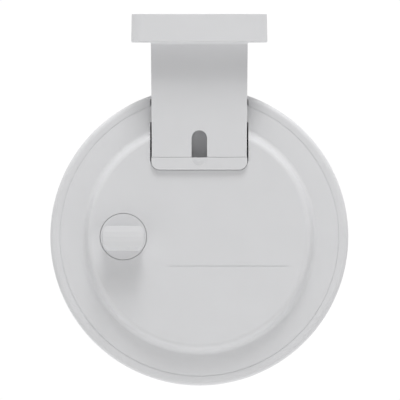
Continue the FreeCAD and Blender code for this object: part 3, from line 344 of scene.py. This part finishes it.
def dress_nodes(finishes):
    """Gives each CAD node the finish of its slot in the record."""
    for part in frame["record"]["subparts"]:
        for slot in NODES[part["node"]].material_slots:
            slot.material = finishes[part["material_slot"]].material


# Details -----------------------------------------------------------------------------------------


def add_piece(name, shape, body, slot, finishes):
    """Makes an object of a bmesh. It rides a body and takes the finish of a slot."""
    mesh = bpy.data.meshes.new(name)
    bmesh.ops.recalc_face_normals(shape, faces=shape.faces)
    shape.to_mesh(mesh)
    shape.free()
    mesh.materials.append(finishes[slot].material)
    piece = bpy.data.objects.new(name, mesh)
    bpy.context.scene.collection.objects.link(piece)
    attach(piece, body)
    return piece


def add_block(shape, low, high):
    """Adds a box between two corners to a bmesh."""
    corners = [
        shape.verts.new((x, y, z))
        for x in (low[0], high[0])
        for y in (low[1], high[1])
        for z in (low[2], high[2])
    ]
    for face in ((0, 1, 3, 2), (4, 6, 7, 5), (0, 4, 5, 1), (2, 3, 7, 6), (0, 2, 6, 4), (1, 5, 7, 3)):
        shape.faces.new([corners[index] for index in face])


def make_threaded_insert(finishes):
    """The brass tripod insert with its thread, in place of the plain tube."""
    low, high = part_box("tripod_insert")
    outside = (high.x - low.x) / 2
    crest = 2.6 * MM
    root = 3.1 * MM
    pitch = 1.27 * MM
    groove = 0.12 * MM
    lead_in = 0.2 * MM
    chamfer = 0.3 * MM
    collar = 0.5 * MM
    sides = 72
    rows = 84
    shape = bmesh.new()

    def ring(z, radius):
        turns = [2 * math.pi * side / sides for side in range(sides)]
        return [
            shape.verts.new((radius(turn) * math.cos(turn), radius(turn) * math.sin(turn), z))
            for turn in turns
        ]

    def thread(z):
        opening = root + lead_in - (high.z - z)

        def radius(turn):
            phase = (z / pitch - turn / (2 * math.pi)) % 1.0
            return max(crest + (root - crest) * (1 - abs(2 * phase - 1)), opening)

        return radius

    def knurl(turn):
        return outside - groove * (round(turn * sides / (2 * math.pi)) % 2)

    heights = [high.z + (low.z - high.z) * row / rows for row in range(rows + 1)]
    loops = [ring(high.z, lambda turn: outside - chamfer)]
    loops += [ring(z, thread(z)) for z in heights]
    loops += [ring(low.z, knurl), ring(high.z - collar, knurl)]
    for near, far in zip(loops, loops[1:] + loops[:1]):
        for side in range(sides):
            after = (side + 1) % sides
            shape.faces.new((near[side], near[after], far[after], far[side]))
    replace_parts(add_piece("threaded_insert", shape, "bracket", "brass", finishes), "tripod_insert")


def make_port_contacts(finishes):
    """Gold contacts on both faces of the power inlet's tongue."""
    low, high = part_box("power_socket_tongue")
    count = 6
    pitch = 1.0 * MM
    half_width = 0.2 * MM
    half_thickness = 0.03 * MM
    start = 0.2 * MM
    end = 2.8 * MM
    shape = bmesh.new()
    for number in range(count):
        x = (number - (count - 1) / 2) * pitch
        for y in (low.y, high.y):
            add_block(
                shape,
                (x - half_width, y - half_thickness, low.z + start),
                (x + half_width, y + half_thickness, low.z + end),
            )
    add_piece("port_contacts", shape, "camera", "brass", finishes)


# Across, up, width, height and thickness of each chip, in millimetres from the disc's centre
CHIPS = (
    (-6.0, 8.0, 9.0, 9.0, 1.0),
    (-19.0, 9.0, 6.0, 8.0, 0.9),
    (6.0, 10.0, 5.0, 4.0, 0.8),
    (-12.0, -6.0, 4.0, 4.0, 0.8),
    (3.0, -24.0, 6.0, 5.0, 0.9),
    (-8.0, -26.0, 3.0, 3.0, 0.7),
    (16.0, -26.0, 4.0, 3.0, 1.4),
)


def make_board_chips(finishes):
    """Chips on the main board, with a row of small parts below each of them."""
    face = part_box("main_board")[1].y
    part_half = Vector((0.25 * MM, 0.0, 0.45 * MM))
    part_thick = Vector((0.0, 0.4 * MM, 0.0))
    row_drop = 1.2 * MM
    chips = bmesh.new()
    parts = bmesh.new()
    for x, z, wide, tall, thick in CHIPS:
        half = Vector((wide / 2 * MM, 0.0, tall / 2 * MM))
        centre = Vector((x * MM, face, DISC.z + z * MM))
        add_block(chips, centre - half, centre + half + Vector((0.0, thick * MM, 0.0)))
        for step in range(int(wide)):
            spot = centre + Vector(((step - wide / 2 + 0.5) * MM, 0.0, -half.z - row_drop))
            add_block(parts, spot - part_half, spot + part_half + part_thick)
    add_piece("board_chips", chips, "camera", "chip", finishes)
    add_piece("board_small_parts", parts, "camera", "connector_plastic", finishes)


# Stage -------------------------------------------------------------------------------------------


def aim(thing, place, target):
    """Puts a light or camera at a place and turns it to a target."""
    thing.location = place
    thing.rotation_euler = (Vector(target) - Vector(place)).to_track_quat("-Z", "Y").to_euler()


def make_camera():
    """A long lens straight behind the object, as wide at the disc as the picture is."""
    distance = 5.0
    picture_width = 147.75 * MM
    right_of_disc = 0.26 * MM
    above_disc = 13.5 * MM
    lens = bpy.data.cameras.new("camera")
    lens.sensor_width = 36.0
    lens.lens = lens.sensor_width * distance / picture_width
    lens.clip_end = 20.0
    camera = bpy.data.objects.new("camera", lens)
    bpy.context.scene.collection.objects.link(camera)
    centre = Vector((right_of_disc, 0.0, DISC.z + above_disc))
    aim(camera, centre - Vector((0.0, distance, 0.0)), centre)
    bpy.context.scene.camera = camera


def make_softbox(name, bearing, elevation, size, radiance, distance=1.5):
    """A square light at a bearing and elevation, in degrees. Bearing 0 is the camera's side."""
    light = bpy.data.lights.new(name, "AREA")
    light.shape = "SQUARE"
    light.size = size
    light.energy = radiance * math.pi * size**2
    turn = math.radians(bearing)
    rise = math.radians(elevation)
    across = math.cos(rise)
    towards = Vector((math.sin(turn) * across, -math.cos(turn) * across, math.sin(rise)))
    softbox = bpy.data.objects.new(name, light)
    bpy.context.scene.collection.objects.link(softbox)
    aim(softbox, DISC + towards * distance, DISC)


def make_world(front, back, seen=1.02):
    """A white surround, dimmer on the camera's side, and plain white in the picture itself."""
    world = bpy.data.worlds.new("world")
    world.use_nodes = True
    tree = world.node_tree
    way = tree.nodes.new("ShaderNodeSeparateXYZ")
    tree.links.new(tree.nodes.new("ShaderNodeTexCoord").outputs["Generated"], way.inputs[0])
    shade = tree.nodes.new("ShaderNodeMapRange")
    for index, value in enumerate((0.0, -1.0, 1.0, front, back)):
        shade.inputs[index].default_value = value
    tree.links.new(way.outputs["Y"], shade.inputs["Value"])
    mix = tree.nodes.new("ShaderNodeMix")
    mix.inputs["B"].default_value = seen
    tree.links.new(tree.nodes.new("ShaderNodeLightPath").outputs["Is Camera Ray"], mix.inputs["Factor"])
    tree.links.new(shade.outputs["Result"], mix.inputs["A"])
    background = tree.nodes["Background"]
    background.inputs["Color"].default_value = (1.0, 1.0, 1.0, 1.0)
    tree.links.new(mix.outputs["Result"], background.inputs["Strength"])
    bpy.context.scene.world = world


def make_floor():
    """A pale floor well below the object. It lets a camera below it see through."""
    size = 8.0
    drop = 0.17
    bpy.ops.mesh.primitive_grid_add(x_subdivisions=8, y_subdivisions=8, size=size)
    floor = bpy.context.object
    floor.name = "floor"
    floor.location = (0.0, 0.0, cad_box[0].z - drop)
    paint = Finish("floor_paint", (0.90, 0.90, 0.90), 0.7)
    paint.tint(paint.noise(0.4, detail=2.0), (0.89, 0.89, 0.89))
    below = paint.add("ShaderNodeNewGeometry").outputs["Backfacing"]
    clear = paint.add("ShaderNodeBsdfTransparent").outputs["BSDF"]
    mix = paint.add("ShaderNodeMixShader", {0: below, 1: paint.shader.outputs["BSDF"], 2: clear})
    paint.tree.links.new(mix.outputs[0], paint.tree.nodes["Material Output"].inputs["Surface"])
    floor.data.materials.append(paint.material)


def make_stage():
    """The surround, the floor, two lights and the camera."""
    make_world(front=0.20, back=1.05)
    make_floor()
    make_softbox("key", bearing=8.0, elevation=67.2, size=0.42, radiance=14.5)
    make_softbox("overhead", bearing=4.0, elevation=77.0, size=1.5, radiance=1.9)
    make_camera()
    scene = bpy.context.scene
    scene.view_settings.view_transform = "Standard"
    scene.view_settings.look = "None"


# -------------------------------------------------------------------------------------------------

FINISHES = make_finishes()
dress_nodes(FINISHES)
make_threaded_insert(FINISHES)
make_port_contacts(FINISHES)
make_board_chips(FINISHES)
make_stage()
